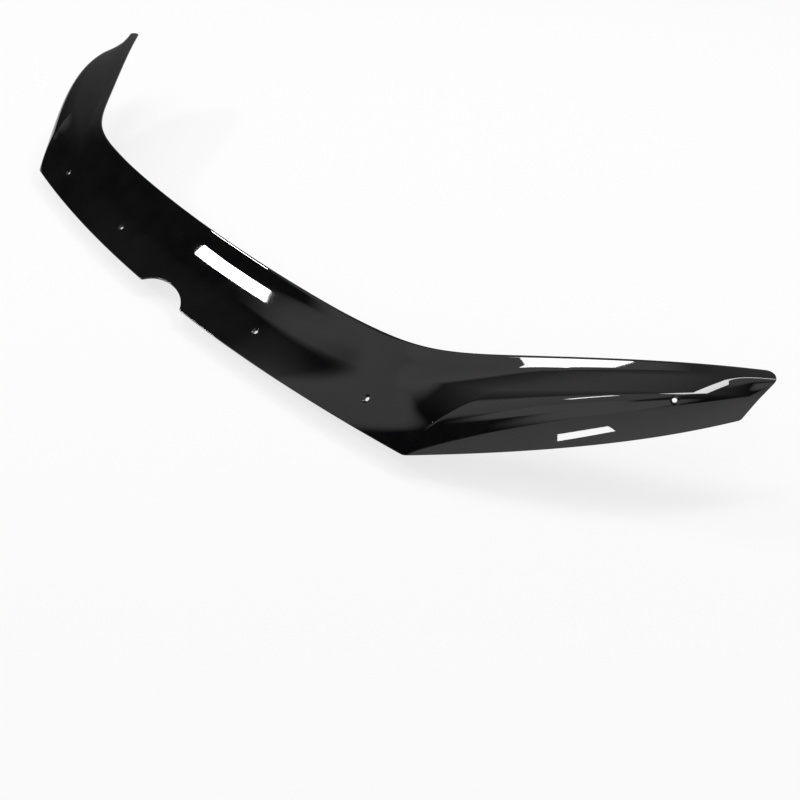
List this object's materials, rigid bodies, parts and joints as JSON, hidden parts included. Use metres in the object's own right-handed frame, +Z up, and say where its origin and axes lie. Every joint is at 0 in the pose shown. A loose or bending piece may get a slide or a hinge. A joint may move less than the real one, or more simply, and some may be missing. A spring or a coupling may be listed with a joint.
{
  "type": "hood bug deflector",
  "caption": "Thin gloss shield that wraps the front edge of a hood, with a kicked-up lip, swept wings, a badge notch and countersunk screw holes.",
  "frame": {"origin": "on the centre plane, in line and level with the two lower corners of the shield, where the hood's leading edge sits", "axes": "+X across the vehicle to its left side, +Y from the front of the vehicle to its back, +Z up as mounted"},
  "size_m": [1.4438, 0.3492, 0.1086],
  "materials": {
    "shield": "gloss"
  },
  "bodies": {
    "root": {"deflector_shield": "shield"}
  },
  "joints": []
}
